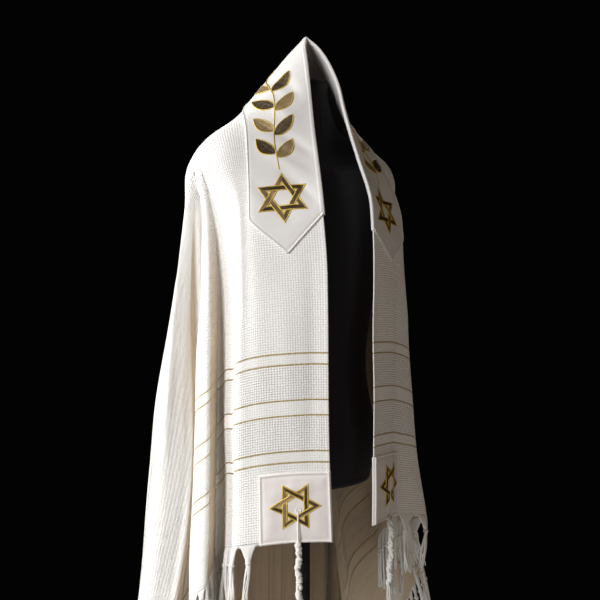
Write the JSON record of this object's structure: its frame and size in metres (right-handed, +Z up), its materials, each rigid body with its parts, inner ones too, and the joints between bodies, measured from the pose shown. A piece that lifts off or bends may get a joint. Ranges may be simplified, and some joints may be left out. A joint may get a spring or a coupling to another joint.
{
  "type": "tallit prayer shawl on limbless dress form",
  "caption": "Fringed wool prayer shawl with a pointed neckband, corner patches and knotted corner tassels, draped over the shoulders of a limbless dress form on a pole stand.",
  "frame": {"origin": "centre of the round base's flat underside, on the floor", "axes": "+Z up, -Y towards the open front of the shawl, -X towards the wearer's right shoulder"},
  "size_m": [0.5206, 0.3764, 1.5615],
  "materials": {
    "shawl_wool": "woven wool, matte",
    "band_satin": "smooth weave, soft sheen",
    "patch_satin": "smooth weave, soft sheen",
    "wool_thread": "twisted wool yarn",
    "form_jersey": "matte jersey",
    "stand_steel": "satin black"
  },
  "bodies": {
    "root": {"shawl_front_right": "shawl_wool", "shawl_front_left": "shawl_wool", "shawl_side_right": "shawl_wool", "shawl_side_left": "shawl_wool", "shawl_back": "shawl_wool", "atarah": "band_satin", "corner_patch_front_right": "patch_satin", "corner_patch_front_left": "patch_satin", "corner_patch_rear_right": "patch_satin", "corner_patch_rear_left": "patch_satin", "fringe_right": "wool_thread", "fringe_left": "wool_thread", "tzitzit_front_right": "wool_thread", "tzitzit_front_left": "wool_thread", "tzitzit_rear_right": "wool_thread", "tzitzit_rear_left": "wool_thread", "form_torso": "form_jersey", "form_neck_cap": "form_jersey", "stand_collar": "stand_steel", "stand_pole": "stand_steel", "stand_base": "stand_steel"}
  },
  "joints": []
}
